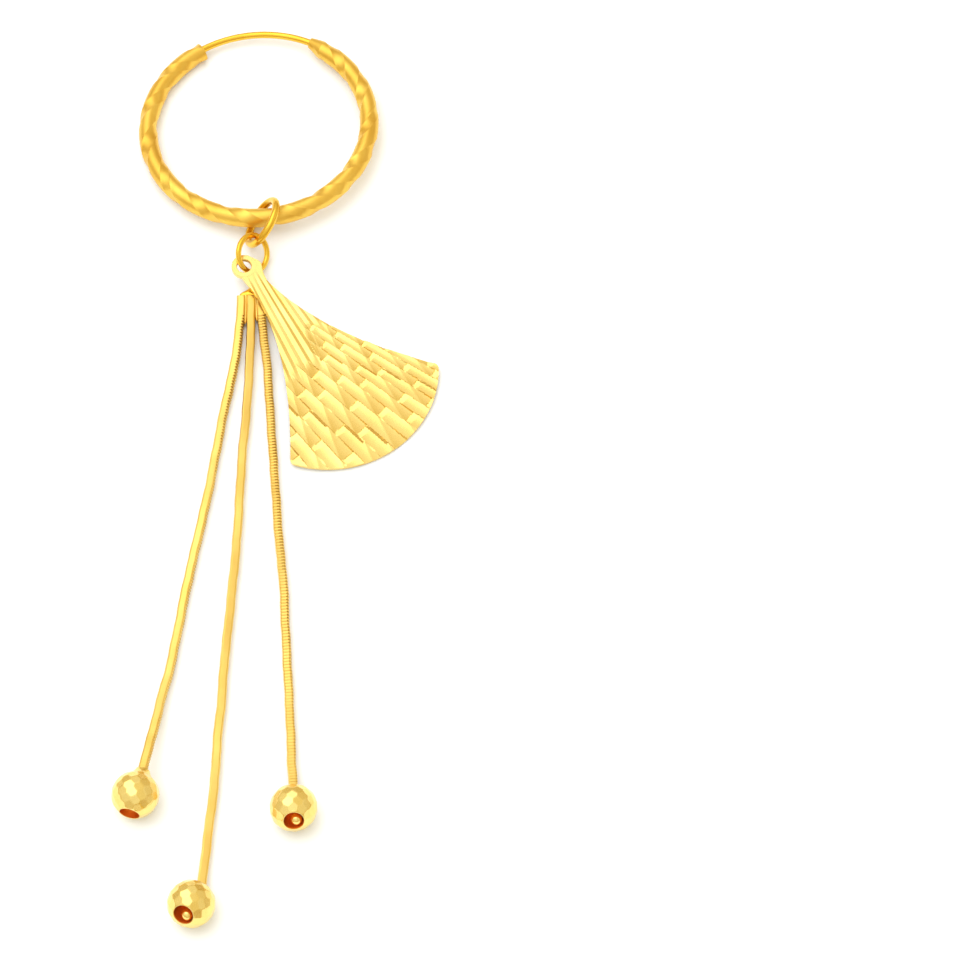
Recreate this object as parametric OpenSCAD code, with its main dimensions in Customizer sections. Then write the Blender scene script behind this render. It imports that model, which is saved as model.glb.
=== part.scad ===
// Fan drop hoop earring, lying on a table. Millimetres.
// The table is z = 0. The hoop lies at +y, the beads at -y, and +x is to the right
// of somebody who looks at the earring from the beads' side.

/* [Hoop] */
// Outer diameter of the hoop
hoop_d = 18; // [17.5:0.1:18.5]
// Diameter of the hoop's hollow tube
tube_d = 1.4; // [1.3:0.05:1.4]
// Diameter of the tube's bore
tube_bore_d = 0.9; // [0.8:0.05:0.9]
// Length of tube in which the cut flats wind once round it
flat_lead = 8; // [6:0.5:12]
// Direction of the tube's open end, seen from the hoop's middle
open_end_angle = 122.5; // [110:0.5:130]
// Direction of the tube's swaged end
swaged_end_angle = 64; // [55:0.5:70]
// Diameter of the ear wire
wire_d = 0.52; // [0.45:0.01:0.55]

/* [Jump rings] */
// Radius of the upper ring to the middle of its wire
upper_ring_r = 1.8; // [1.75:0.05:1.85]
// Wire diameter of the upper ring
upper_wire_d = 0.58; // [0.5:0.01:0.6]
// Radius of the lower ring to the middle of its wire
lower_ring_r = 1.36; // [1.33:0.01:1.4]
// Wire diameter of the lower ring
lower_wire_d = 0.42; // [0.36:0.01:0.44]

/* [Fan] */
// Thickness of the fan's sheet
fan_sheet = 0.35; // [0.3:0.01:0.4]
// Radius of the fan's arc
fan_arc_r = 8.1; // [8:0.05:8.3]
// Half width of the fan's neck
neck_half = 0.68; // [0.6:0.01:0.75]
// Outer radius of the fan's tab
tab_r = 0.92; // [0.9:0.01:1]
// Radius of the hole in the tab
tab_hole_r = 0.6; // [0.6:0.01:0.64]
// Depth of the bright cuts at the fan's arc
cut_depth = 0.2; // [0.1:0.01:0.22]

/* [Chains] */
// Side of the square snake chains
chain_w = 0.7; // [0.6:0.01:0.7]
// Chamfer on the chain's edges
chain_chamfer = 0.14; // [0.08:0.01:0.2]

/* [Beads] */
// Diameter of the hollow beads
bead_d = 3.3; // [3.2:0.05:3.3]
// Wall of the hollow beads
bead_wall = 0.25; // [0.2:0.01:0.35]
// Diameter of the bead's upper hole, which the chain runs through
chain_hole_d = 1.04; // [1:0.01:1.1]
// Diameter of the bead's lower hole
bead_hole_d = 1.4; // [1.3:0.05:1.5]
// Diameter of the stop at the chain's end
stop_d = 1; // [1:0.02:1.1]

/* [Hidden] */

gold = [0.93, 0.74, 0.26];
bright_gold = [0.98, 0.83, 0.38];

// Hoop: the near side is lifted by the upper ring's wire under it
near_lift_angle = 2.2;
right_lift_angle = 2;
tube_r = tube_d / 2;
hoop_r = hoop_d / 2 - tube_r;
hoop_rise = hoop_r * sqrt(1 - pow(cos(near_lift_angle) * cos(right_lift_angle), 2));
hoop_middle = [-2.5, 28, tube_r + hoop_rise];
flats = 4;
flat_half_angle = 29;
ring_step_angle = 2.5;
swage_angle = 8;
swage_tip_r = 0.4;
wire_r = wire_d / 2;
wire_arc_r = hoop_r + 0.15;
wire_seat_gap = 0.03;
wire_in_open_end = 22;
wire_in_swage = 11;

// Jump rings: middle, lean of the axis from upright, and the direction it leans to
upper_middle = [-1.975, 19.1, 1.8];
upper_lean = 56.2;
upper_turn = 166.2;
lower_middle = [-2.63, 16.63, 1.45];
lower_lean = 51;
lower_turn = -29;

// Fan: u runs from the tab's hole to the arc, v across, with the hole at the origin
fan_hole = [-3.24, 15.5, 1.41];
fan_turn = -52.6;
fan_slope = 3.7;
body_start = 0.7;
neck_end = 1.8;
side_end = 14.6;
side_spread = 5.81;
side_power = 1.67;
arc_middle = 10.3;
arc_end_angle = 53.3;
corner_r = 0.45;
corner_middle = [14.872, 6.134];
tab_edge = 0.01;
// Bright cuts: number across, width share of the steep facet, and the length of their run-in
cuts = 13;
facet_share = 0.3;
cut_ramp = 4;
band_gap = 0.002;
// Bands of cuts along the fan: [start share, end share, steps, phase]
cut_bands = [
    [-0.002, 0.38, 6, 0],
    [0.38, 0.52, 2, 1],
    [0.52, 0.65, 2, 0],
    [0.65, 0.78, 2, 1],
    [0.78, 0.9, 2, 0],
    [0.9, 0.965, 1, 1],
    [0.965, 1.002, 3, 1]
];

// Chain loop
eye_middle = [-2.45, 15.49, 0.6];
eye_lean = 44.4;
eye_r = 0.58;
eye_wire_r = 0.12;
stem_r = 0.16;
seat_middle = [-2.72, 13.72, 0.42];
seat_size = [1.7, 0.42, 0.56];
seat_chamfer = 0.12;

// Beads: middle, lift of the lower hole above level, and the direction that it faces
bead_r = bead_d / 2;
bead_sides = 12;
bead_left_place = [[-9.5, -26.75, 1.65], 2, -103.6];
bead_middle_place = [[-5.4, -34.75, 1.65], 35, -111.8];
bead_right_place = [[1.35, -27.7, 1.65], 29, -86.7];
collar_r = 0.66;
collar_height = 0.12;
// Latitudes of the bead's facet rows, from the upper end to the lower hole
bead_rows = [-52, -34, -12, 12, 34, 52];
stop_along = 0.96;
stop_sink = 0.12;
chain_end_along = 0.4;

// Routes of the chains, from the seat at the loop to the bead
chain_left_route = [
    [-3.45, 13.48, 0.42], [-3.47, 11.4, 0.38], [-3.8, 7.7, 0.36], [-4.4, 4.1, 0.36], [-4.9, 0.5, 0.36],
    [-5.4, -3, 0.36], [-6, -6.5, 0.36], [-6.6, -10, 0.36], [-7.1, -13.4, 0.36], [-7.6, -16.7, 0.42],
    [-8.1, -19.1, 0.58], [-8.5, -21.6, 0.95], [-8.8, -23.2, 1.25], [-9.05, -24.6, 1.48]
];
chain_middle_route = [
    [-2.72, 13.48, 0.42], [-2.68, 11.4, 0.38], [-2.7, 7.7, 0.36], [-2.8, 4.1, 0.36], [-3, 0.5, 0.36],
    [-3.1, -3, 0.36], [-3.2, -6.5, 0.36], [-3.4, -10, 0.36], [-3.6, -13.2, 0.36], [-3.8, -16.1, 0.36],
    [-3.9, -19, 0.36], [-4.1, -22.1, 0.36], [-4.2, -25.2, 0.36], [-4.4, -27.7, 0.36], [-4.6, -30, 0.36],
    [-4.75, -31.8, 0.38], [-4.82, -33, 0.46]
];
chain_right_route = [
    [-1.99, 13.48, 0.42], [-1.88, 11.4, 0.38], [-1.4, 7.7, 0.36], [-1.1, 4.1, 0.36], [-0.8, 0.5, 0.36],
    [-0.5, -3, 0.36], [-0.2, -6.5, 0.36], [0.2, -10, 0.36], [0.4, -13.2, 0.36], [0.6, -16.1, 0.36],
    [0.8, -19, 0.36], [1, -22.2, 0.4], [1.1, -24, 0.48], [1.2, -25.2, 0.6]
];
route_steps = 2;
smooth = 48;

function flat_list(lists) = [for (list = lists) for (item = list) item];
function unit(v) = v / norm(v);
function bead_axis(place) = [cos(place[1]) * cos(place[2]), cos(place[1]) * sin(place[2]), sin(place[1])];

// Faces of a closed tube with the given numbers of rings and sides
function tube_faces(rings, sides) = concat(
    [[for (j = [0:sides - 1]) j]],
    [[for (j = [sides - 1:-1:0]) (rings - 1) * sides + j]],
    [for (i = [0:rings - 2]) for (j = [0:sides - 1])
        [i * sides + j, (i + 1) * sides + (j + 1) % sides, i * sides + (j + 1) % sides]],
    [for (i = [0:rings - 2]) for (j = [0:sides - 1])
        [i * sides + j, (i + 1) * sides + j, (i + 1) * sides + (j + 1) % sides]]
);

// Section of the hoop's tube at an angle round the hoop: corners of the four cut flats
function swage_share(a) = max(0, (a - (360 + swaged_end_angle - swage_angle)) / swage_angle);
function tube_ring(a) = let (
    share = swage_share(a),
    r = tube_r + (swage_tip_r - tube_r) * share,
    middle_r = hoop_r + (wire_arc_r - hoop_r) * share,
    twist = 360 * (a * PI / 180 * hoop_r) / flat_lead
) [
    for (k = [0:flats - 1]) for (side = [-1, 1])
        let (
            around = twist + 360 * k / flats + side * flat_half_angle,
            out = middle_r + r * sin(around)
        )
        [out * cos(a), out * sin(a), r * cos(around)]
];

// Smooth route through hand placed points
function spline_at(p, i, t) = let (
    last = len(p) - 1,
    a = p[max(i - 1, 0)],
    b = p[i],
    c = p[min(i + 1, last)],
    d = p[min(i + 2, last)]
) 0.5 * (2 * b + (c - a) * t + (2 * a - 5 * b + 4 * c - d) * t * t + (3 * b - a - 3 * c + d) * t * t * t);
function smooth_route(p) = concat(
    [for (i = [0:len(p) - 2]) for (k = [0:route_steps - 1]) spline_at(p, i, k / route_steps)],
    [p[len(p) - 1]]
);

// Eight sided section of a chain, square with chamfered edges
function chain_ring(route, i) = let (
    last = len(route) - 1,
    along = unit(route[min(i + 1, last)] - route[max(i - 1, 0)]),
    across = unit(cross([0, 0, 1], along)),
    up = cross(along, across),
    h = chain_w / 2,
    c = h - chain_chamfer
) [
    for (s = [[h, -c], [h, c], [c, h], [-c, h], [-h, c], [-h, -c], [-c, -h], [c, -h]])
        route[i] + across * s[0] + up * s[1]
];

// Half width of the fan at a distance from the tab's hole, with a round corner at the arc
function fan_half(u) = u < side_end
    ? neck_half + side_spread * pow(max(0, u - neck_end) / (side_end - neck_end), side_power)
    : corner_middle[1] + sqrt(max(0, corner_r * corner_r - pow(u - corner_middle[0], 2)));

// Columns of the fan's grid, as shares of half its width: two facets for each cut
fan_columns = [
    for (k = [0:2 * cuts]) 2 * (floor(k / 2) + (k % 2) * facet_share) / cuts - 1
];
// Rows of the fan's grid, as [share of the length, phase]
fan_rows = [
    for (band = cut_bands)
        let (from = band[0] + band_gap, to = band[1] - band_gap)
        for (k = [0:band[2]]) [from + (to - from) * k / band[2], band[3]]
];

function fan_point(s, along) = let (
    a = arc_end_angle * s,
    end_u = arc_middle + fan_arc_r * cos(a),
    end_v = fan_arc_r * sin(a),
    corner_u = arc_middle + fan_arc_r * cos(arc_end_angle),
    side_u = body_start + (corner_u - body_start) * along
) [body_start + (end_u - body_start) * along, end_v * fan_half(side_u) / fan_half(corner_u)];

// Fan's sheet from its neck to its arc: flat back, bright cuts in front
module fan_sheet_body() {
    columns = len(fan_columns);
    rows = len(fan_rows);
    points = [
        for (front = [1, 0]) for (row = fan_rows) for (c = [0:columns - 1])
            let (
                p = fan_point(fan_columns[c], row[0]),
                cut = (c + row[1]) % 2,
                depth = cut_depth * min(1, max(0, p[0] - neck_end) / cut_ramp)
            )
            [p[0], p[1], front == 1 ? fan_sheet / 2 - tab_edge - cut * depth : tab_edge - fan_sheet / 2]
    ];
    function at(side, r, c) = (side * rows + r) * columns + c;
    front_faces = [
        for (r = [0:rows - 2]) for (c = [0:columns - 2])
            each [
                [at(0, r, c), at(0, r, c + 1), at(0, r + 1, c + 1)],
                [at(0, r, c), at(0, r + 1, c + 1), at(0, r + 1, c)]
            ]
    ];
    back_faces = [
        for (r = [0:rows - 2]) for (c = [0:columns - 2])
            [at(1, r, c), at(1, r + 1, c), at(1, r + 1, c + 1), at(1, r, c + 1)]
    ];
    end_faces = [
        for (c = [0:columns - 2])
            each [
                [at(0, 0, c + 1), at(0, 0, c), at(1, 0, c), at(1, 0, c + 1)],
                [at(0, rows - 1, c), at(0, rows - 1, c + 1), at(1, rows - 1, c + 1), at(1, rows - 1, c)]
            ]
    ];
    side_faces = [
        for (r = [0:rows - 2])
            each [
                [at(0, r, 0), at(0, r + 1, 0), at(1, r + 1, 0), at(1, r, 0)],
                [at(0, r + 1, columns - 1), at(0, r, columns - 1), at(1, r, columns - 1), at(1, r + 1, columns - 1)]
            ]
    ];
    polyhedron(points, concat(front_faces, back_faces, end_faces, side_faces));
}

module wire_ring(r, wire, sides) {
    rotate_extrude($fn = sides)
        translate([r, 0])
            circle(r = wire, $fn = 24);
}

module place_hoop() {
    translate(hoop_middle)
        rotate([-near_lift_angle, -right_lift_angle, 0])
            children();
}

module place_fan() {
    translate(fan_hole)
        rotate([0, fan_slope, fan_turn])
            children();
}

module place_bead(place) {
    translate(place[0])
        rotate([0, 90 - place[1], place[2]])
            children();
}

module hoop_tube() {
    last = 360 + swaged_end_angle;
    rings = ceil((last - open_end_angle) / ring_step_angle) + 1;
    step = (last - open_end_angle) / (rings - 1);
    points = flat_list([for (i = [0:rings - 1]) tube_ring(open_end_angle + step * i)]);
    bore_end = last - swage_angle - 2;
    color(gold)
        place_hoop()
            difference() {
                polyhedron(points, tube_faces(rings, 2 * flats));
                rotate([0, 0, open_end_angle - 3])
                    rotate_extrude(angle = bore_end - open_end_angle + 3, $fn = smooth)
                        translate([hoop_r, 0])
                            circle(d = tube_bore_d, $fn = 24);
                rotate([0, 0, bore_end - 2])
                    rotate_extrude(angle = last + 5 - bore_end, $fn = smooth)
                        translate([wire_arc_r, 0])
                            circle(r = wire_r + wire_seat_gap, $fn = 24);
            }
}

module ear_wire() {
    first = swaged_end_angle - wire_in_swage;
    color(bright_gold)
        place_hoop()
            rotate([0, 0, first])
                rotate_extrude(angle = open_end_angle + wire_in_open_end - first, $fn = smooth)
                    translate([wire_arc_r, 0])
                        circle(r = wire_r, $fn = 24);
}

module upper_ring() {
    color(gold)
        translate(upper_middle)
            rotate([0, upper_lean, upper_turn])
                wire_ring(upper_ring_r, upper_wire_d / 2, smooth);
}

module lower_ring() {
    color(gold)
        translate(lower_middle)
            rotate([0, lower_lean, lower_turn])
                wire_ring(lower_ring_r, lower_wire_d / 2, smooth);
}

module fan() {
    color(bright_gold)
        place_fan()
            difference() {
                union() {
                    fan_sheet_body();
                    translate([0, 0, -fan_sheet / 2])
                        cylinder(r = tab_r, h = fan_sheet, $fn = smooth);
                }
                cylinder(r = tab_hole_r, h = 4 * fan_sheet, center = true, $fn = smooth);
            }
}

// Bar that the chains are soldered to, with an eye that hangs on the lower ring
module chain_loop() {
    x = seat_size[1] / 2;
    z = seat_size[2] / 2;
    c = seat_chamfer;
    foot = seat_middle + [0.1, 0, 0];
    top = eye_middle - [0, eye_r, 0];
    stem = foot - top;
    color(gold)
        union() {
            translate(eye_middle)
                rotate([0, eye_lean, 180])
                    wire_ring(eye_r, eye_wire_r, smooth);
            translate(top)
                rotate([0, acos(stem[2] / norm(stem)), atan2(stem[1], stem[0])])
                    cylinder(r = stem_r, h = norm(stem), $fn = 24);
            translate(seat_middle - [seat_size[0] / 2, 0, 0])
                rotate([90, 0, 90])
                    linear_extrude(seat_size[0])
                        polygon([
                            [x, -z + c], [x, z - c], [x - c, z], [-x + c, z],
                            [-x, z - c], [-x, -z + c], [-x + c, -z], [x - c, -z]
                        ]);
        }
}

// Chain that lies along a route and runs into its bead
module snake_chain(route, place) {
    axis = bead_axis(place);
    mouth = place[0] - axis * (bead_r - 0.1);
    inside = place[0] + axis * chain_end_along;
    line = concat(smooth_route(concat(route, [mouth])), [(mouth + inside) / 2, inside]);
    points = flat_list([for (i = [0:len(line) - 1]) chain_ring(line, i)]);
    polyhedron(points, tube_faces(len(line), 8));
}
module chain_left() {
    color(bright_gold)
        snake_chain(chain_left_route, bead_left_place);
}
module chain_middle() {
    color(gold)
        snake_chain(chain_middle_route, bead_middle_place);
}
module chain_right() {
    color(bright_gold)
        snake_chain(chain_right_route, bead_right_place);
}

// Hollow bead, faceted in rows round the chain's axis, with its lower hole at +z
module bead(place) {
    hole_r = bead_hole_d / 2;
    low_z = sqrt(bead_r * bead_r - hole_r * hole_r);
    top_z = sqrt(bead_r * bead_r - collar_r * collar_r);
    profile = concat(
        [[0, -top_z - collar_height], [collar_r - 0.08, -top_z - collar_height], [collar_r, -top_z]],
        [for (a = bead_rows) bead_r * [cos(a), sin(a)]],
        [[hole_r + 0.04, low_z], [0, low_z]]
    );
    color(bright_gold)
        place_bead(place)
            difference() {
                rotate_extrude($fn = bead_sides)
                    polygon(profile);
                sphere(r = bead_r - bead_wall, $fn = smooth);
                cylinder(r = hole_r, h = 2 * bead_r, $fn = smooth);
                translate([0, 0, -2 * bead_r])
                    cylinder(d = chain_hole_d, h = 2 * bead_r, $fn = smooth);
            }
}
module bead_left() {
    bead(bead_left_place);
}
module bead_middle() {
    bead(bead_middle_place);
}
module bead_right() {
    bead(bead_right_place);
}

// Ball at the chain's end, which the bead hangs on
module stop(place) {
    color(gold)
        place_bead(place)
            translate([stop_sink, 0, stop_along])
                sphere(d = stop_d, $fn = smooth);
}
module stop_left() {
    stop(bead_left_place);
}
module stop_middle() {
    stop(bead_middle_place);
}
module stop_right() {
    stop(bead_right_place);
}

hoop_tube();
ear_wire();
upper_ring();
lower_ring();
fan();
chain_loop();
chain_left();
chain_middle();
chain_right();
bead_left();
bead_middle();
bead_right();
stop_left();
stop_middle();
stop_right();
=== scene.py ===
# Looks of the fan drop hoop earring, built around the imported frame. Sizes are in millimetres and
# angles in degrees until a mesh is made, and each piece lies where its CAD node lies.
import bpy
import math
import numpy as np
from mathutils import Matrix, Vector


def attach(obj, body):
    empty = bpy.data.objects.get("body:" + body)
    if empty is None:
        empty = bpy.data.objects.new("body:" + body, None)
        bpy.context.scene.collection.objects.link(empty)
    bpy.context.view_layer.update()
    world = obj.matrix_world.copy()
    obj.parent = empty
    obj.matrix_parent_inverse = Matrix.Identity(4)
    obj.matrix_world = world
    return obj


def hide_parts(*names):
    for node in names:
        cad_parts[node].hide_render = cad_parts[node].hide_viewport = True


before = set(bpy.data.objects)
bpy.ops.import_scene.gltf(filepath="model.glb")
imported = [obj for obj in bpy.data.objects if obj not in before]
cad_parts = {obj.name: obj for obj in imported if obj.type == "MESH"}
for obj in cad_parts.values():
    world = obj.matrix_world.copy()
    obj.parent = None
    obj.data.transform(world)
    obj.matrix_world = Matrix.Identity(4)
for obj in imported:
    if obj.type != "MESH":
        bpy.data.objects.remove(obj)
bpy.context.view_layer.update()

MM = 0.001
PI = math.pi


# ---------------------------------------------------------------- materials
TINT_SCALE, TINT_DETAIL, TINT_FROM, TINT_TO = 420, 3, 0.35, 0.65
GRAIN_DETAIL = 4
RELIEF = 0.02 * MM


def shader_nodes(name):
    material = bpy.data.materials.new(name)
    material.use_nodes = True
    nodes, links = material.node_tree.nodes, material.node_tree.links
    return material, nodes, links, nodes["Principled BSDF"]


def gold(name, light, deep, roughness, spread, grain, bump, metallic=1.0):
    """Gold with slightly uneven colour, soft roughness variation and fine tool marks."""
    material, nodes, links, shader = shader_nodes(name)
    shader.inputs["Metallic"].default_value = metallic
    where = nodes.new("ShaderNodeTexCoord")

    broad = nodes.new("ShaderNodeTexNoise")
    broad.inputs["Scale"].default_value = TINT_SCALE
    broad.inputs["Detail"].default_value = TINT_DETAIL
    links.new(where.outputs["Object"], broad.inputs["Vector"])
    tint = nodes.new("ShaderNodeValToRGB")
    tint.color_ramp.elements[0].position = TINT_FROM
    tint.color_ramp.elements[0].color = (*deep, 1)
    tint.color_ramp.elements[1].position = TINT_TO
    tint.color_ramp.elements[1].color = (*light, 1)
    links.new(broad.outputs["Fac"], tint.inputs["Fac"])
    links.new(tint.outputs["Color"], shader.inputs["Base Color"])

    fine = nodes.new("ShaderNodeTexNoise")
    fine.inputs["Scale"].default_value = grain
    fine.inputs["Detail"].default_value = GRAIN_DETAIL
    links.new(where.outputs["Object"], fine.inputs["Vector"])
    rough = nodes.new("ShaderNodeMapRange")
    rough.inputs["To Min"].default_value = roughness - spread
    rough.inputs["To Max"].default_value = roughness + spread
    links.new(fine.outputs["Fac"], rough.inputs["Value"])
    links.new(rough.outputs["Result"], shader.inputs["Roughness"])

    relief = nodes.new("ShaderNodeBump")
    relief.inputs["Strength"].default_value = bump
    relief.inputs["Distance"].default_value = RELIEF
    links.new(fine.outputs["Fac"], relief.inputs["Height"])
    links.new(relief.outputs["Normal"], shader.inputs["Normal"])
    return material


# Light and deep colour, roughness and how far it varies, scale and strength of the grain, and
# how metallic it is
cut_gold = gold("cut_gold", (0.89, 0.585, 0.105), (0.8, 0.48, 0.07), 0.39, 0.06, 9000, 0.25)
fan_gold = gold("fan_gold", (0.95, 0.705, 0.225), (0.91, 0.64, 0.185), 0.24, 0.05, 6000, 0.12)
wire_gold = gold("wire_gold", (0.92, 0.58, 0.07), (0.84, 0.48, 0.045), 0.2, 0.04, 6000, 0.1)
chain_gold = gold("chain_gold", (0.9, 0.63, 0.165), (0.84, 0.56, 0.13), 0.32, 0.05, 8000, 0.12)
bead_gold = gold("bead_gold", (0.94, 0.73, 0.24), (0.9, 0.67, 0.2), 0.22, 0.04, 5000, 0.1)
# Painted shade: a dark gold for the fan's slits, the tab hole's wall and the grooves between chain
# plates
painted_shade_gold = gold("painted_shade_gold", (0.55, 0.32, 0.055), (0.42, 0.23, 0.04), 0.4, 0.1, 8000, 0.1, 0.9)
# Painted reflection: a red-orange gold that stands in for light bounced inside hollows
painted_bounce_gold = gold("painted_bounce_gold", (0.9, 0.27, 0.03), (0.62, 0.13, 0.01), 0.4, 0.1, 5000, 0.25, 0.8)


# ---------------------------------------------------------------- meshes
def place(at, rx=0.0, ry=0.0, rz=0.0):
    """Turns about x, then y, then z, and then moves to a point."""
    turn = Matrix.Rotation(math.radians(rz), 4, "Z") @ Matrix.Rotation(math.radians(ry), 4, "Y")
    return Matrix.Translation(Vector(at)) @ turn @ Matrix.Rotation(math.radians(rx), 4, "X")


def laid(parts, matrix):
    """The parts of a piece, turned and moved to where the piece lies."""
    m = np.array(matrix)
    return [
        (np.asarray(points, float).reshape(-1, 3) @ m[:3, :3].T + m[:3, 3], faces, index)
        for points, faces, index in parts
    ]


def piece(name, parts, materials, nodes, sharp):
    """One object from parts: points, faces, and one material index or a list with each face's."""
    points, faces, indices = [], [], []
    start = 0
    for part_points, part_faces, index in parts:
        points.append(part_points)
        faces += [tuple(start + i for i in f) for f in part_faces]
        indices += index if isinstance(index, list) else [index] * len(part_faces)
        start += len(part_points)
    mesh = bpy.data.meshes.new(name)
    mesh.from_pydata((np.vstack(points) * MM).tolist(), [], faces)
    mesh.polygons.foreach_set("material_index", indices)
    mesh.polygons.foreach_set("use_smooth", [True] * len(mesh.polygons))
    mesh.update()
    mesh.set_sharp_from_angle(angle=math.radians(sharp))
    obj = bpy.data.objects.new(name, mesh)
    bpy.context.scene.collection.objects.link(obj)
    for material in materials:
        mesh.materials.append(material)
    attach(obj, "root")
    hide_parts(*nodes)
    return obj


def tube_faces(rings, sides, closed=False, caps=True, flip=False):
    """Quads between rings whose points run counter-clockwise about the direction of travel."""
    faces = []
    for i in range(rings if closed else rings - 1):
        k = (i + 1) % rings
        for j in range(sides):
            n = (j + 1) % sides
            faces.append((i * sides + j, i * sides + n, k * sides + n, k * sides + j))
    if caps and not closed:
        faces.append(tuple(range(sides - 1, -1, -1)))
        faces.append(tuple((rings - 1) * sides + j for j in range(sides)))
    return [tuple(reversed(f)) for f in faces] if flip else faces


def grid_faces(rows, columns):
    corners = [r * columns + c for r in range(rows - 1) for c in range(columns - 1)]
    return [(k, k + columns, k + columns + 1, k + 1) for k in corners]


def circle(sides):
    """Even angles round a circle, in radians."""
    return np.arange(sides) * 2 * PI / sides


def direction(lift, azimuth):
    """Unit vector from two angles in radians."""
    level = math.cos(lift)
    return level * math.cos(azimuth), level * math.sin(azimuth), math.sin(lift)


def arc_ring(angle, middle_r, section):
    """Points of a section (out, up) on an arc about z."""
    a = math.radians(angle)
    out = middle_r + section[:, 0]
    return np.stack([out * math.cos(a), out * math.sin(a), section[:, 1]], 1)


def disc_section(r, around):
    # Counter-clockwise about the direction of growing angle
    return np.stack([r * np.sin(around), r * np.cos(around)], 1)


def wire_loop(r_arc, r_wire, rings=96, sides=24):
    section = disc_section(r_wire, circle(sides))
    points = np.vstack([arc_ring(360 * i / rings, r_arc, section) for i in range(rings)])
    return points, tube_faces(rings, sides, closed=True)


def turned(profile, sides):
    """Rings about z, one for each radius and height of a profile."""
    t = circle(sides)
    return np.vstack([
        np.stack([r * np.cos(t), r * np.sin(t), np.full(sides, z)], 1) for r, z in profile
    ])


def ease(t):
    t = np.clip(t, 0, 1)
    return t * t * (3 - 2 * t)


# ---------------------------------------------------------------- hoop
TUBE_R, BORE_R, HOOP_R = 0.7, 0.45, 8.3
OPEN_END, SWAGED_END, HOOP_RINGS = 122.5, 424.0, 640
# How far the bore's rings lie inside the open end
BORE_DEPTHS = (0.0, 3.0, 8.0, 16.0, 28.0)
# The swaged end narrows over its last degrees, down to a seat for the wire
SWAGE_REACH, SWAGED_R, SEAT_R, SEAT_DEPTH = 8, 0.4, 0.29, 5
# Two broad flats wind along the tube, and take away a share of the round
FLATS, FLAT_LEAD, FLAT_HALF, FLAT_SHARE = 2, 6.9, 39.0, 0.5
FLAT_STEPS, ROUND_STEPS = 8, 12
# Each flat is a little wider or narrower from place to place, and narrows at the swaged end
UNEVEN_SHARE, UNEVEN_RATE, UNEVEN_SHIFT, FLAT_LOSS = 0.16, 2.3, 150, 0.7
WIRE_R, WIRE_ARC_R = 0.26, 8.45
WIRE_FIRST, WIRE_LAST, WIRE_RINGS, WIRE_SIDES = 53, 144.5, 120, 28
# The tilted hoop is raised until it rests on the table
TILT_X, TILT_Y = 2.2, 2.0
LEVEL = math.cos(math.radians(TILT_X)) * math.cos(math.radians(TILT_Y))
RISE = HOOP_R * math.sqrt(1 - LEVEL ** 2)
HOOP_PLACE = place((-2.5, 28, TUBE_R + RISE), -TILT_X, -TILT_Y, 0)
# Radius of the ring's middle line, radius of its wire, and how it lies
JUMP_RINGS = {
    "upper_ring": (1.8, 0.29, place((-1.975, 19.1, 1.8), 0, 56.2, 166.2)),
    "lower_ring": (1.36, 0.21, place((-2.63, 16.63, 1.45), 0, 51, -29)),
}


def twist(angle):
    """How far the flats have wound round the tube at an angle of the hoop."""
    return 360 * math.radians(angle) * HOOP_R / FLAT_LEAD


def tube_section(angle):
    """Round tube with flats that wind along it. The corners of the flats stay on the grid."""
    share = max(0.0, (angle - (SWAGED_END - SWAGE_REACH)) / SWAGE_REACH)
    r = TUBE_R + (SWAGED_R - TUBE_R) * share
    gap = 360 / FLATS
    offsets, rho = [], []
    for k in range(FLATS):
        uneven = UNEVEN_SHARE * math.sin(math.radians(UNEVEN_RATE * angle + UNEVEN_SHIFT * k))
        half = FLAT_HALF * (1 + uneven) * (1 - FLAT_LOSS * share)
        flat = np.linspace(-half, half, FLAT_STEPS, endpoint=False)
        between = np.linspace(half, gap - half, ROUND_STEPS, endpoint=False)
        full = 1 - math.cos(math.radians(half)) / np.cos(np.radians(flat))
        offsets += [gap * k + flat, gap * k + between]
        rho += [1 - FLAT_SHARE * full, np.ones(ROUND_STEPS)]
    phi = np.radians(np.concatenate(offsets) + twist(angle))
    rho = r * np.concatenate(rho)
    shift = (WIRE_ARC_R - HOOP_R) * share
    return np.stack([shift + rho * np.sin(phi), rho * np.cos(phi)], 1)


def hoop_tube():
    sides = FLATS * (FLAT_STEPS + ROUND_STEPS)
    sweep = SWAGED_END - OPEN_END
    angles = [OPEN_END + sweep * i / (HOOP_RINGS - 1) for i in range(HOOP_RINGS)]
    outer = np.vstack([arc_ring(a, HOOP_R, tube_section(a)) for a in angles])
    # Open end: the tube's edge and the bore, which is closed far inside
    bore = disc_section(BORE_R, math.radians(twist(OPEN_END) - FLAT_HALF) + circle(sides))
    inner = np.vstack([arc_ring(OPEN_END + d, HOOP_R, bore) for d in BORE_DEPTHS])
    bore_faces = tube_faces(len(BORE_DEPTHS), sides, caps=False, flip=True)
    last = len(inner) - sides
    bore_faces.append(tuple(range(last + sides - 1, last - 1, -1)))
    # Swaged end: it closes round the wire's seat
    tip = SEAT_R / SWAGED_R * (tube_section(SWAGED_END) - np.array([WIRE_ARC_R - HOOP_R, 0]))
    seat = np.vstack([arc_ring(SWAGED_END - d, WIRE_ARC_R, tip) for d in (0, SEAT_DEPTH)])
    band = tube_faces(2, sides, caps=False)
    open_edge = tube_faces(2, sides, caps=False, flip=True)
    # The bore and the wire's seat get the red-orange gold of painted bounced light
    parts = [
        (outer, tube_faces(HOOP_RINGS, sides, caps=False), 0),
        (inner, bore_faces, 1),
        (np.vstack([outer[:sides], inner[:sides]]), open_edge, 0),
        (np.vstack([outer[-sides:], seat[:sides]]), band, 0),
        (seat, band + [tuple(range(sides, 2 * sides))], 1),
    ]
    return piece("hoop_tube_cut", laid(parts, HOOP_PLACE), [cut_gold, painted_bounce_gold], ["hoop_tube"],
                 sharp=12)


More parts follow.
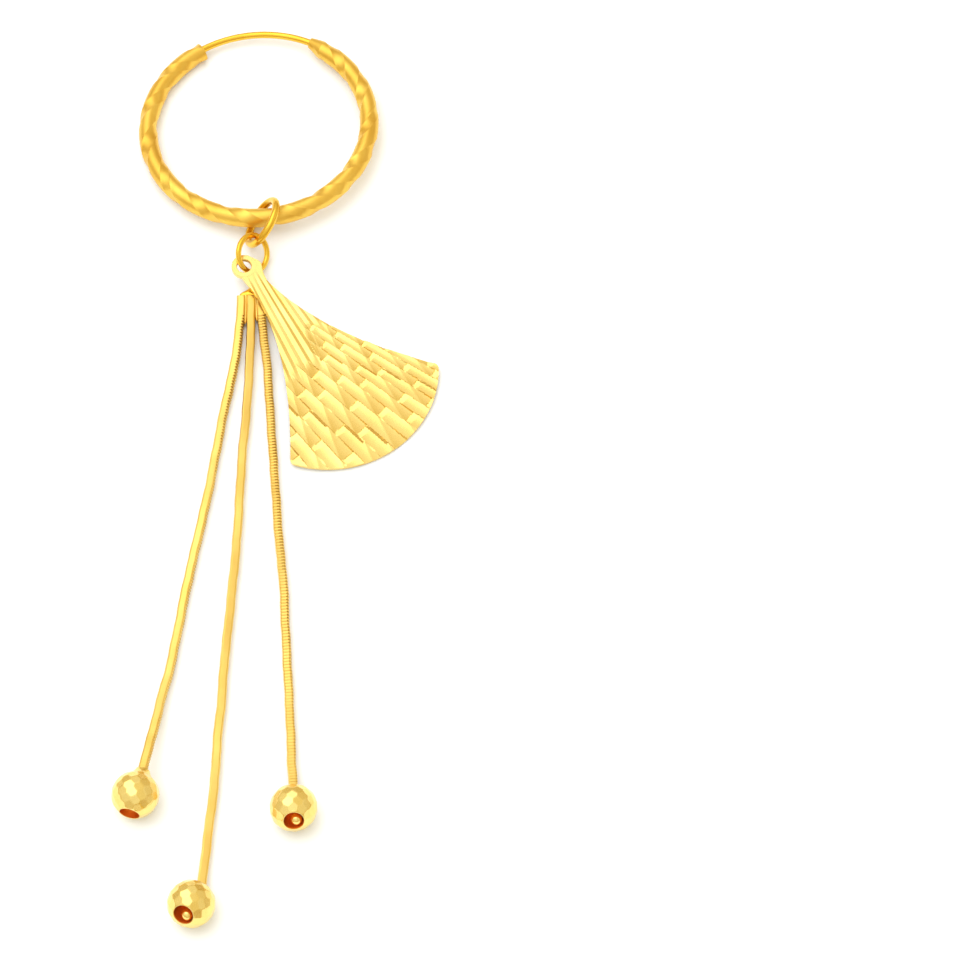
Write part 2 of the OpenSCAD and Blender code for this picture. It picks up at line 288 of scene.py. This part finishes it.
def ear_wire():
    section = disc_section(WIRE_R, circle(WIRE_SIDES))
    sweep = WIRE_LAST - WIRE_FIRST
    points = np.vstack([
        arc_ring(WIRE_FIRST + sweep * i / (WIRE_RINGS - 1), WIRE_ARC_R, section)
        for i in range(WIRE_RINGS)
    ])
    parts = laid([(points, tube_faces(WIRE_RINGS, WIRE_SIDES), 0)], HOOP_PLACE)
    return piece("ear_wire_polished", parts, [wire_gold], ["ear_wire"], sharp=40)


def jump_ring(node):
    r_arc, r_wire, matrix = JUMP_RINGS[node]
    points, faces = wire_loop(r_arc, r_wire)
    parts = laid([(points, faces, 0)], matrix)
    return piece(node + "_polished", parts, [wire_gold], [node], sharp=60)


hoop_tube()
ear_wire()
for node in JUMP_RINGS:
    jump_ring(node)


# ---------------------------------------------------------------- fan
# u runs from the tab's hole to the arc, and v across the fan to its right side
FAN_PLACE = place((-3.24, 15.5, 1.41), 0, 3.7, -52.6)
SHEET, INSET, LEAST_WALL = 0.35, 0.01, 0.06
NECK_HALF, NECK_END, SIDE_END, SIDE_SPREAD, SIDE_POWER = 0.68, 1.8, 14.6, 5.81, 1.67
ARC_MIDDLE, ARC_R, ARC_ANGLE, BODY_START = 10.3, 8.1, 53.3, 0.7
CORNER_R, CORNER = 0.45, (14.872, 6.134)
CORNER_U = ARC_MIDDLE + ARC_R * math.cos(math.radians(ARC_ANGLE))
FAN_COLUMNS, FAN_ROWS = 241, 301
# The last rows have a spacing of their own, over the rounded corners
CORNER_ROWS, ROWS_END, CORNER_START = 12, 0.955, 0.958
# Section of the tab's ring (radius, height), which begins at the foot of the hole's wall
TAB = [
    (0.53, -0.145), (0.53, 0.145), (0.56, 0.175), (0.9, 0.175),
    (0.92, 0.16), (0.92, -0.16), (0.9, -0.175), (0.56, -0.175),
]
TAB_SIDES = 72
# Outline (u, v) of the shoulder, which makes the tab wider on its right side
SHOULDER = [
    (-0.4, 0.77), (-0.2, 0.93), (0.05, 1.07), (0.3, 1.16), (0.5, 1.18), (0.66, 1.13),
    (0.85, 1.02), (1.15, 0.88), (1.5, 0.77), (1.9, 0.69), (1.9, 0.6), (1.0, 0.6),
    (0.6, 0.52), (0.32, 0.66), (0.0, 0.74), (-0.26, 0.69),
]
# Its levels (height, inset). The inset moves the points beyond a value of v inward, and a share
# of it moves them towards the tab's top.
SHOULDER_LEVELS = [(-0.15, 0.0), (0.14, 0.0), (0.17, 0.03)]
SHOULDER_OUTSIDE, SHOULDER_RISE = 0.75, 0.5

# Three fans of straight lines, each drawn from a point beyond the tab
STRIP_FROM, STRIP_FIRST, STRIP_LAST = (-13.6, -5.8), -14.8, 27
STRIP_WIDTH, STRIP_LOSS, STRIP_EVEN = 2.1, 0.075, 9
STRIPS = [STRIP_FIRST]
while STRIPS[-1] < STRIP_LAST:
    # The strips grow narrower towards the right
    STRIPS.append(STRIPS[-1] + STRIP_WIDTH - STRIP_LOSS * max(0, STRIPS[-1] - STRIP_EVEN))
ROW_FROM, ROW_FIRST, ROW_PITCH = (-13.6, 5.8), 13.6, 3.4
FLUTE_FROM, FLUTE_FIRST, FLUTE_PITCH = (-10.7, 2.1), 9.6, 1.75

# Depths of a slat, of a strip's left side, of the hollow across it and of the turned triangles
SLAT_DEPTH, SIDE_DEPTH, HOLLOW_DEPTH, TRIANGLE_DEPTH = 0.07, 0.045, 0.035, 0.24
# Shares of a row: its blunt step, and where its triangle begins
STEP_SHARE, TRIANGLE_START = 0.09, 0.97
# A flute falls over the first part of its width and rises over the rest
FLUTE_DEPTH, FLUTE_FALL, FLUTES_START, FLUTES_FADE = 0.045, 0.6, 0.8, 1.5
# The slats begin, under the flutes, higher up on the right than on the left
LOWER_START, LOWER_SLANT, LOWER_SHIFT, LOWER_FADE, LOWER_FULL = 8.6, 2.4, 0.6, 1.6, 0.99
SLIT_DEPTH, SLIT_ACROSS, SLIT_FROM, SLIT_TO, SLIT_RARITY = 0.04, 0.84, 0.02, 0.42, 0.6
# Rows shift from strip to strip, and slats and flutes differ in depth. The phases spread this.
ROW_SHIFT, ROW_PHASE = 0.1, 2.4
SLAT_VARIETY, SLAT_PHASES = 0.25, (1.7, 2.9)
FLUTE_SHARE, FLUTE_VARIETY, FLUTE_PHASE, FLUTE_OFFSET = 0.75, 0.5, 1.9, 0.6
SLIT_PHASES = (4.1, 2.3)


def fan_half(u):
    u = np.asarray(u, float)
    down = np.maximum(0, u - NECK_END) / (SIDE_END - NECK_END)
    side = NECK_HALF + SIDE_SPREAD * down ** SIDE_POWER
    corner = CORNER[1] + np.sqrt(np.maximum(0, CORNER_R ** 2 - (u - CORNER[0]) ** 2))
    return np.where(u < SIDE_END, side, corner)


def line_count(start, first, pitch, u, v):
    """How many lines of a fan a point lies past the first. They spread from one start."""
    return (first - np.degrees(np.arctan2(start[1] - v, u - start[0]))) / pitch


def cut_depth(u, v):
    """Depth of the cuts. Strips run to the right and down, and each is cut into slats that start
    with a blunt step at the lines of the other fan and slope down to the next one. A turned
    triangle lies above each step. Plain flutes run down from the tab."""
    angle = np.degrees(np.arctan2(v - STRIP_FROM[1], u - STRIP_FROM[0]))
    away = np.hypot(u - STRIP_FROM[0], v - STRIP_FROM[1])
    count = np.interp(angle, STRIPS, range(len(STRIPS)))
    strip = np.floor(count)
    across = count - strip
    left = np.radians(np.interp(strip, range(len(STRIPS)), STRIPS))
    left_u, left_v = STRIP_FROM[0] + away * np.cos(left), STRIP_FROM[1] + away * np.sin(left)
    uneven = ROW_SHIFT * np.sin(strip * ROW_PHASE)
    begun = line_count(ROW_FROM, ROW_FIRST, ROW_PITCH, left_u, left_v) + uneven
    here = line_count(ROW_FROM, ROW_FIRST, ROW_PITCH, u, v) + uneven
    row = np.floor(begun)
    along = begun - row
    step = np.clip(along / STEP_SHARE, 0, 1)
    strength = 1 + SLAT_VARIETY * np.sin(strip * SLAT_PHASES[0] + row * SLAT_PHASES[1])
    hollow = HOLLOW_DEPTH * (1 - (2 * across - 1) ** 2)
    slope = SLAT_DEPTH * strength * (1 - step * (1 - along))
    slats = slope + SIDE_DEPTH * (1 - across) + hollow
    triangles = TRIANGLE_DEPTH * step * np.maximum(0, here - row - TRIANGLE_START)

    flute = line_count(FLUTE_FROM, FLUTE_FIRST, FLUTE_PITCH, u, v)
    number = np.floor(flute)
    part = flute - number
    fall, rise = 1 - part / FLUTE_FALL, (part - FLUTE_FALL) / (1 - FLUTE_FALL)
    share = FLUTE_SHARE + FLUTE_VARIETY * np.sin(number * FLUTE_PHASE + FLUTE_OFFSET)
    flutes = FLUTE_DEPTH * share * np.where(part < FLUTE_FALL, fall, rise)

    slant = LOWER_SLANT * ease((v + LOWER_SHIFT) / LOWER_FADE)
    lower = ease((u - LOWER_START + slant) / LOWER_FADE)
    upper = (1 - lower) * ease((u - FLUTES_START) / FLUTES_FADE)
    # A few slats have a narrow slit along the start of their upper edge, whose faces get painted
    # shade
    rare = np.sin(strip * SLIT_PHASES[0] + row * SLIT_PHASES[1]) > SLIT_RARITY
    start = (along > SLIT_FROM) & (along < SLIT_TO)
    slit = (across > SLIT_ACROSS) & start & rare & (lower > LOWER_FULL)
    return lower * (slats + triangles) + upper * flutes + SLIT_DEPTH * slit, slit


def fan_sheet():
    """The cut front, and the walls along its outline with the flat back within them."""
    columns, rows = FAN_COLUMNS, FAN_ROWS
    along = np.concatenate([
        np.linspace(0, ROWS_END, rows - CORNER_ROWS), np.linspace(CORNER_START, 1.0, CORNER_ROWS)
    ])
    angle = np.radians(ARC_ANGLE * np.linspace(-1, 1, columns))
    end_u = ARC_MIDDLE + ARC_R * np.cos(angle)
    end_v = ARC_R * np.sin(angle)
    side_u = BODY_START + (CORNER_U - BODY_START) * along
    u = BODY_START + (end_u[None, :] - BODY_START) * along[:, None]
    v = end_v[None, :] * (fan_half(side_u) / fan_half(CORNER_U))[:, None]
    depth, slit = cut_depth(u, v)
    top = SHEET / 2 - INSET - depth
    bottom = -SHEET / 2 + INSET
    front = np.stack([u, v, np.maximum(top, bottom + LEAST_WALL)], 2).reshape(-1, 3)
    # Faces inside a slit get the dark gold of painted shade
    dark = (slit[:-1, :-1] & slit[1:, 1:]).astype(int).reshape(-1).tolist()

    loop = list(range(columns))
    loop += [r * columns + columns - 1 for r in range(1, rows)]
    loop += [(rows - 1) * columns + c for c in range(columns - 2, -1, -1)]
    loop += [r * columns for r in range(rows - 2, 0, -1)]
    edge = front[loop]
    low = edge.copy()
    low[:, 2] = bottom
    n = len(loop)
    walls = [(j, (j + 1) % n, n + (j + 1) % n, n + j) for j in range(n)]
    walls.append(tuple(range(n, 2 * n)))
    return [(front, grid_faces(rows, columns), dark), (np.vstack([edge, low]), walls, 0)]


def fan_tab():
    """The ring that the lower jump ring goes through, and the shoulder beside it."""
    ring_faces = tube_faces(len(TAB), TAB_SIDES, closed=True, flip=True)
    # The wall of the hole and its lower edge get the dark gold of painted shade
    hole_shade = [1] * TAB_SIDES + [0] * TAB_SIDES * (len(TAB) - 2) + [1] * TAB_SIDES
    shoulder = []
    for z, inset in SHOULDER_LEVELS:
        for x, y in SHOULDER:
            cut = inset * (y > SHOULDER_OUTSIDE)
            shoulder.append((x - cut * SHOULDER_RISE, y - cut, z))
    shoulder_faces = tube_faces(len(SHOULDER_LEVELS), len(SHOULDER), flip=True)
    return [(turned(TAB, TAB_SIDES), ring_faces, hole_shade), (shoulder, shoulder_faces, 0)]


def fan():
    parts = laid(fan_sheet() + fan_tab(), FAN_PLACE)
    return piece("fan_cut", parts, [fan_gold, painted_shade_gold], ["fan"], sharp=22)


fan()


# ---------------------------------------------------------------- chains
# Middle line of each chain, from the solder at its top down to its bead, as in the CAD
ROUTES = {
    "left": [
        (-3.45, 13.48, 0.42), (-3.47, 11.4, 0.38), (-3.8, 7.7, 0.36), (-4.4, 4.1, 0.36),
        (-4.9, 0.5, 0.36), (-5.4, -3, 0.36), (-6, -6.5, 0.36), (-6.6, -10, 0.36),
        (-7.1, -13.4, 0.36), (-7.6, -16.7, 0.42), (-8.1, -19.1, 0.58), (-8.5, -21.6, 0.95),
        (-8.8, -23.2, 1.25), (-9.05, -24.6, 1.48)],
    "middle": [
        (-2.72, 13.48, 0.42), (-2.68, 11.4, 0.38), (-2.7, 7.7, 0.36), (-2.8, 4.1, 0.36),
        (-3, 0.5, 0.36), (-3.1, -3, 0.36), (-3.2, -6.5, 0.36), (-3.4, -10, 0.36),
        (-3.6, -13.2, 0.36), (-3.8, -16.1, 0.36), (-3.9, -19, 0.36), (-4.1, -22.1, 0.36),
        (-4.2, -25.2, 0.36), (-4.4, -27.7, 0.36), (-4.6, -30, 0.36), (-4.75, -31.8, 0.38),
        (-4.82, -33, 0.46)],
    "right": [
        (-1.99, 13.48, 0.42), (-1.88, 11.4, 0.38), (-1.4, 7.7, 0.36), (-1.1, 4.1, 0.36),
        (-0.8, 0.5, 0.36), (-0.5, -3, 0.36), (-0.2, -6.5, 0.36), (0.2, -10, 0.36),
        (0.4, -13.2, 0.36), (0.6, -16.1, 0.36), (0.8, -19, 0.36), (1, -22.2, 0.4),
        (1.1, -24, 0.48), (1.2, -25.2, 0.6)],
}
SPLINE_STEPS = 40
# Middle of each bead, and how its axis lies, towards the lower hole: lift and azimuth
BEADS = {
    "left": ((-9.5, -26.75, 1.65), 2, -103.6),
    "middle": ((-5.4, -34.75, 1.65), 35, -111.8),
    "right": ((1.35, -27.7, 1.65), 29, -86.7),
}
BEAD_R = 1.65
# How deep inside the ball the chain goes through its neck, and how far past the middle it ends
MOUTH_DEPTH, CHAIN_END = 0.1, 0.38

# The section is square with cut edges and very slightly crowned faces
HALF_WIDTH, HALF_HEIGHT, EDGE_CUT, EDGE_MIDDLE = 0.315, 0.345, 0.12, 0.35
SIDE_CROWN, TOP_CROWN = 0.004, 0.003
LINK, LINK_RINGS = 0.24, 4
# How deep a groove is at each ring of a link, and how far from the top the grooves begin
GROOVE_SHAPE = (1.0, 0.22, 0.0, 0.22)
PLAIN_END = 1.5
# How far the grooves between the plates go in: top, right flank, left flank. Each chain lies on
# another side, so each shows another face of the same plates.
GROOVES = {
    "left": (0.008, 0.12, 0.012),
    "middle": (0.006, 0.014, 0.012),
    "right": (0.05, 0.1, 0.03),
}
# Where the grooves are deepest and how far that reaches, and their share of depth elsewhere
DEEPEST = {"left": (7.0, 7.0), "middle": (18.0, 5.0), "right": (12.0, 15.0)}
WORN_SHARE = 0.5
# Sides of the section where painted shade, in the dark gold, shows in the grooves between the
# plates, and how many of them show where the grooves have more than a share of their depth
SEAM_SHADE_SIDES = {"left": (15, 0, 1, 2, 3), "middle": (), "right": (0, 1, 2, 3, 4)}
SEAM_SHADE_COUNTS = ((0.8, 5), (0.65, 4), (0.0, 3))
# Each chain wanders sideways and turns about itself: size, rate and phase of the waves
WANDER = ((0.014, 1.7, 1), (0.009, 4.1, 2))
TURN = ((0.04, 0.35, 1), (0.02, 1.1, 3))
PHASE = {"left": 0.0, "middle": 2.0, "right": 4.0}
LEAN = {"left": 0.0, "middle": -0.09, "right": 0.0}


def bead_axis(side):
    lift, azimuth = BEADS[side][1:]
    return np.array(direction(math.radians(lift), math.radians(azimuth)))


def spline(points, step):
    """Even points, a step apart, on a smooth curve through the given ones."""
    p = np.asarray(points, float)
    dense = []
    for i in range(len(p) - 1):
        a, b, c, d = p[max(i - 1, 0)], p[i], p[i + 1], p[min(i + 2, len(p) - 1)]
        for t in np.linspace(0, 1, SPLINE_STEPS, endpoint=False):
            dense.append(0.5 * (2 * b + (c - a) * t + (2 * a - 5 * b + 4 * c - d) * t ** 2
                                + (3 * b - a - 3 * c + d) * t ** 3))
    dense.append(p[-1])
    dense = np.array(dense)
    s = np.concatenate([[0], np.cumsum(np.linalg.norm(np.diff(dense, axis=0), axis=1))])
    count = int(round(s[-1] / step))
    at = np.linspace(0, s[-1], count + 1)
    return np.stack([np.interp(at, s, dense[:, k]) for k in range(3)], 1), at


def groove_share(side, s):
    """How deep the grooves still are at a distance from the top: some stretches are worn smooth."""
    if s < PLAIN_END:
        return 0.0
    middle, spread = DEEPEST[side]
    return WORN_SHARE + (1 - WORN_SHARE) * math.exp(-((s - middle) / spread) ** 2)


def sway(waves, side, s, start=0.0):
    """Waves at a distance from the top, added to a start."""
    phase = PHASE[side]
    return sum((size * math.sin(rate * s + share * phase) for size, rate, share in waves), start)


def chain_section(right, left, high):
    """Sixteen points (across, up), counter-clockwise from the foot of the right flank."""
    c, m = EDGE_CUT, EDGE_CUT * EDGE_MIDDLE
    return [
        (right, -(high - c)), (right + SIDE_CROWN, 0), (right, high - c),
        (right - m, high - m), (right - c, high), (0, high + TOP_CROWN), (-(left - c), high),
        (-(left - m), high - m), (-left, high - c), (-left - SIDE_CROWN, 0), (-left, -(high - c)),
        (-(left - m), -(high - m)), (-(left - c), -high), (0, -high), (right - c, -high),
        (right - m, -(high - m)),
    ]


def snake_chain(side):
    axis = bead_axis(side)
    middle = np.array(BEADS[side][0])
    mouth = middle - axis * (BEAD_R - MOUTH_DEPTH)
    inside = middle + axis * CHAIN_END
    route = list(ROUTES[side]) + [mouth, (mouth + inside) / 2, inside]
    line, at = spline(route, LINK / LINK_RINGS)
    ahead = np.gradient(line, axis=0)
    ahead /= np.linalg.norm(ahead, axis=1)[:, None]
    across = np.cross([0, 0, 1], ahead)
    across /= np.linalg.norm(across, axis=1)[:, None]
    up = np.cross(ahead, across)
    rings = []
    for i in range(len(line)):
        groove = GROOVE_SHAPE[i % LINK_RINGS] * groove_share(side, at[i])
        top, flank_r, flank_l = (g * groove for g in GROOVES[side])
        section = chain_section(HALF_WIDTH - flank_r, HALF_WIDTH - flank_l, HALF_HEIGHT - top)
        turn = sway(TURN, side, at[i], LEAN[side])
        wide, high = across[i] + turn * up[i], up[i] - turn * across[i]
        centre = line[i] + across[i] * sway(WANDER, side, at[i])
        rings.append(np.array([centre + wide * p + high * q for p, q in section]))
    sides = len(rings[0])
    faces = tube_faces(len(line), sides)
    # Faces at the grooves on these sides get painted shade
    seam_shade = []
    for k in range(len(faces)):
        share = groove_share(side, at[min(k // sides, len(at) - 1)])
        shown = next((count for least, count in SEAM_SHADE_COUNTS if share > least), 0)
        at_groove = k // sides % LINK_RINGS == LINK_RINGS - 1
        seam_shade.append(1 if at_groove and k % sides in SEAM_SHADE_SIDES[side][:shown] else 0)
    return piece("snake_chain_" + side, [(np.vstack(rings), faces, seam_shade)], [chain_gold, painted_shade_gold],
                 ["chain_" + side], sharp=20)


for side in ROUTES:
    snake_chain(side)


# ---------------------------------------------------------------- beads
# The ball reaches from within its neck to the lip of the lower hole
BALL_SIDES, BALL_RINGS, BALL_FROM, BALL_TO = 140, 76, -66, 60
# Rows of facets: latitude, and how many facets
BEAD_ROWS = ((-50, 10), (-33, 12), (-16, 14), (1, 14), (18, 14), (35, 12), (50, 10))
FACET_DEPTH = 0.975
FACETS = np.array([
    direction(math.radians(latitude), 2 * PI * (k + 0.5 * (row % 2)) / count)
    for row, (latitude, count) in enumerate(BEAD_ROWS) for k in range(count)
])
# Profiles (radius, height): the lip of the lower hole, the bowl in it, and the neck that the
# chain comes out of
LIP = [(0.80, 1.438), (0.76, 1.462), (0.725, 1.466), (0.705, 1.455), (0.7, 1.43)]
BOWL = [(0.7, 1.24), (0.66, 1.0), (0.56, 0.78), (0.4, 0.62), (0.2, 0.54), (0.01, 0.52)]
NECK = [
    (0.45, -1.32), (0.44, -1.85), (0.46, -1.92), (0.5, -1.91), (0.54, -1.8),
    (0.61, -1.67), (0.7, -1.54), (0.8, -1.42), (0.87, -1.33), (0.9, -1.24),
]
NECK_SIDES = 48
# How far each stop sits towards its bead's lower hole, from the middle of the bead
STOP_ALONG = {"left": 0.7, "middle": 1.02, "right": 1.02}
STOP_R, STOP_OFF_AXIS, STOP_SIDES, STOP_STEPS = 0.42, (0.19, 0.17, 0), 32, 16


def bead_place(side):
    at, lift, azimuth = BEADS[side]
    return place(at, 0, 90 - lift, azimuth)


def bead(side):
    """Ball with soft flat facets: each cuts a little off the round, which shows between them."""
    n = BALL_SIDES
    latitudes = np.radians(np.linspace(BALL_FROM, BALL_TO, BALL_RINGS))
    level, t = np.cos(latitudes)[:, None], circle(n)
    height = np.repeat(np.sin(latitudes)[:, None], n, 1)
    ray = np.stack([level * np.cos(t), level * np.sin(t), height], 2).reshape(-1, 3)
    nearest = (ray @ FACETS.T).max(1)
    outer = ray * (BEAD_R * np.minimum(1, FACET_DEPTH / nearest))[:, None]
    ball = np.vstack([outer, turned(LIP + BOWL, n)])
    faces = tube_faces(BALL_RINGS + len(LIP + BOWL), n)
    # The bowl has the red-orange gold of painted bounced light. The last face but one isn't in it:
    # it closes the neck's end.
    bowl_start = (BALL_RINGS + len(LIP) - 1) * n
    in_bowl = [1 if bowl_start <= k != len(faces) - 2 else 0 for k in range(len(faces))]
    neck_faces = tube_faces(len(NECK), NECK_SIDES, closed=True)
    parts = [(ball, faces, in_bowl), (turned(NECK, NECK_SIDES), neck_faces, 0)]
    return piece("faceted_bead_" + side, laid(parts, bead_place(side)), [bead_gold, painted_bounce_gold],
                 ["bead_" + side], sharp=40)


def stop(side):
    angles = [-PI / 2 + PI * i / STOP_STEPS for i in range(1, STOP_STEPS)]
    along = STOP_ALONG[side]
    profile = [(STOP_R * math.cos(a), along + STOP_R * math.sin(a)) for a in angles]
    points = turned(profile, STOP_SIDES) + np.array(STOP_OFF_AXIS)
    parts = laid([(points, tube_faces(len(profile), STOP_SIDES), 0)], bead_place(side))
    return piece("chain_stop_" + side, parts, [bead_gold], ["stop_" + side],
                 sharp=40)


for side in BEADS:
    bead(side)
    stop(side)


# ---------------------------------------------------------------- chain loop
EYE_R, EYE_WIRE, EYE_RINGS, EYE_SIDES = 0.58, 0.12, 64, 16
EYE_PLACE = place((-2.45, 15.49, 0.6), 0, 44.4, 180)
# Solder that runs from the eye down over the ends of the three chains: share of the way, half
# width and half thickness
SOLDER_FROM, SOLDER_TO = np.array([-2.45, 15.0, 0.58]), np.array([-2.72, 13.52, 0.42])
SOLDER = [
    (0.0, 0.08, 0.08), (0.03, 0.14, 0.13), (0.2, 0.17, 0.15), (0.4, 0.21, 0.17),
    (0.55, 0.3, 0.2), (0.68, 0.52, 0.25), (0.78, 0.78, 0.29), (0.85, 0.87, 0.3),
    (0.93, 0.89, 0.29), (0.98, 0.86, 0.26), (1.0, 0.8, 0.22),
]
SOLDER_SIDES = 32
# Three shallow humps, one over each chain
HUMPS, HUMP_DEPTH, HUMPS_START, HUMPS_FADE = 3, 0.1, 0.6, 0.2
# Solder that has run down between the chains: where across, how far it leans and how far it runs
DRIPS = [(-3.09, -0.01, 2.35), (-2.35, 0.1, 2.1)]
DRIP_RINGS, DRIP_TOP, DRIP_HEIGHT, DRIP_SINK = 13, 13.6, 0.42, 0.05
DRIP_WIDE, DRIP_THICK, DRIP_TAPER = 0.2, 0.235, 0.35
# Each thins out towards a round lower end
END_WIDE_LOSS, END_THICK_LOSS, END_POWER = 0.9, 0.8, 6


def chain_loop():
    n = SOLDER_SIDES
    t = circle(n)
    humps = 0.5 - 0.5 * np.cos(2 * PI * (HUMPS / 2 * np.cos(t) + 0.5))

    def oval(x, y, z, wide, thick):
        return np.stack([x + wide * np.cos(t), np.full(n, y), z + thick * np.sin(t)], 1)

    eye, eye_faces = wire_loop(EYE_R, EYE_WIRE, EYE_RINGS, EYE_SIDES)
    parts = laid([(eye, eye_faces, 0)], EYE_PLACE)
    rings = []
    for k, wide, thick in SOLDER:
        hump = 1 - HUMP_DEPTH * ease((k - HUMPS_START) / HUMPS_FADE) * humps
        rings.append(oval(*(SOLDER_FROM + (SOLDER_TO - SOLDER_FROM) * k), wide, thick * hump))
    parts.append((np.vstack(rings), tube_faces(len(rings), n), 0))
    for x, lean, reach in DRIPS:
        rings = []
        for k in np.linspace(0, 1, DRIP_RINGS):
            end = k ** END_POWER
            wide = DRIP_WIDE * (1 - END_WIDE_LOSS * end)
            thick = DRIP_THICK * (1 - DRIP_TAPER * k) * (1 - END_THICK_LOSS * end)
            y, z = DRIP_TOP - reach * k, DRIP_HEIGHT - DRIP_SINK * k
            rings.append(oval(x + lean * k, y, z, wide, thick))
        parts.append((np.vstack(rings), tube_faces(DRIP_RINGS, n), 1))
    return piece("chain_loop_soldered", parts, [wire_gold, chain_gold], ["chain_loop"],
                 sharp=50)


chain_loop()


# ---------------------------------------------------------------- table, light and camera
TABLE_HALF, TABLE_COLOUR, TABLE_ROUGHNESS = 1.5, (0.88, 0.93, 0.99), 0.9
TABLE_GRAIN, TABLE_BUMP = 300, 0.02
WHITE, WARM, AMBER = (1, 1, 1), (0.86, 0.75, 0.5), (0.6, 0.45, 0.22)
LOW_SKY, HIGH_SKY = (0.8, 0.73, 0.6), (0.93, 0.92, 0.9)
SKY_BY_HEIGHT = [(0, AMBER), (0.4, LOW_SKY), (0.75, HIGH_SKY), (1.0, WHITE)]
SKY_BY_SIDE = [(-1, WHITE), (0.13, WHITE), (0.32, WARM), (0.5, WARM), (0.8, WHITE)]
SKY_STRENGTH = 1.12
# Soft lights: middle, where it points, width and height, and power
KEY_LIGHT = ((-245, 160, 420), (-245, 160, 0), (480, 560), 0.8)
# Lights the table evenly and doesn't show in the metal
TABLE_LIGHT = ((0, -40, 600), (0, -40, 0), (1100, 1100), 2.8)
CAMERA_AT, CAMERA_TILT, LENS, SENSOR = (14.09, -136.26, 253.51), 28, 150, 36


def table():
    material, nodes, links, shader = shader_nodes("table_white")
    shader.inputs["Base Color"].default_value = (*TABLE_COLOUR, 1)
    shader.inputs["Roughness"].default_value = TABLE_ROUGHNESS
    grain = nodes.new("ShaderNodeTexNoise")
    grain.inputs["Scale"].default_value = TABLE_GRAIN
    bump = nodes.new("ShaderNodeBump")
    bump.inputs["Strength"].default_value = TABLE_BUMP
    bump.inputs["Distance"].default_value = RELIEF
    links.new(grain.outputs["Fac"], bump.inputs["Height"])
    links.new(bump.outputs["Normal"], shader.inputs["Normal"])
    mesh = bpy.data.meshes.new("table")
    corners = [(-1, -1), (1, -1), (1, 1), (-1, 1)]
    mesh.from_pydata([(TABLE_HALF * x, TABLE_HALF * y, 0) for x, y in corners], [], [(0, 1, 2, 3)])
    mesh.materials.append(material)
    obj = bpy.data.objects.new("table", mesh)
    bpy.context.scene.collection.objects.link(obj)


def softbox(name, at, aim, size, power):
    data = bpy.data.lights.new(name, "AREA")
    data.shape = "RECTANGLE"
    data.size, data.size_y = size[0] * MM, size[1] * MM
    data.energy = power
    obj = bpy.data.objects.new(name, data)
    obj.location = Vector(at) * MM
    obj.rotation_euler = (Vector(aim) - Vector(at)).to_track_quat("-Z", "Y").to_euler()
    bpy.context.scene.collection.objects.link(obj)
    return obj


def studio():
    """A pale studio: white overhead, warm and darker towards the horizon and the right."""
    world = bpy.data.worlds.new("studio")
    bpy.context.scene.world = world
    world.use_nodes = True
    nodes, links = world.node_tree.nodes, world.node_tree.links
    where = nodes.new("ShaderNodeTexCoord")
    split = nodes.new("ShaderNodeSeparateXYZ")
    links.new(where.outputs["Generated"], split.inputs["Vector"])

    def ramp(source, low, high, stops):
        fit = nodes.new("ShaderNodeMapRange")
        fit.inputs["From Min"].default_value = low
        fit.inputs["From Max"].default_value = high
        links.new(source, fit.inputs["Value"])
        node = nodes.new("ShaderNodeValToRGB")
        elements = node.color_ramp.elements
        while len(elements) < len(stops):
            elements.new(0.5)
        for element, (at, level) in zip(elements, stops):
            element.position = (at - low) / (high - low)
            element.color = (*level, 1)
        links.new(fit.outputs["Result"], node.inputs["Fac"])
        return node.outputs["Color"]

    height = ramp(split.outputs["Z"], 0, 1, SKY_BY_HEIGHT)
    sideways = ramp(split.outputs["X"], -1, 1, SKY_BY_SIDE)
    both = nodes.new("ShaderNodeVectorMath")
    both.operation = "MULTIPLY"
    links.new(height, both.inputs[0])
    links.new(sideways, both.inputs[1])
    links.new(both.outputs["Vector"], nodes["Background"].inputs["Color"])
    nodes["Background"].inputs["Strength"].default_value = SKY_STRENGTH
    softbox("key", *KEY_LIGHT)
    lift = softbox("lift", *TABLE_LIGHT)
    lift.visible_glossy = False


def camera():
    data = bpy.data.cameras.new("camera")
    data.lens, data.sensor_width = LENS, SENSOR
    data.clip_start, data.clip_end = 0.01, 10
    obj = bpy.data.objects.new("camera", data)
    obj.location = Vector(CAMERA_AT) * MM
    obj.rotation_euler = (math.radians(CAMERA_TILT), 0, 0)
    bpy.context.scene.collection.objects.link(obj)
    bpy.context.scene.camera = obj


table()
studio()
camera()
bpy.context.scene.view_settings.view_transform = "Standard"
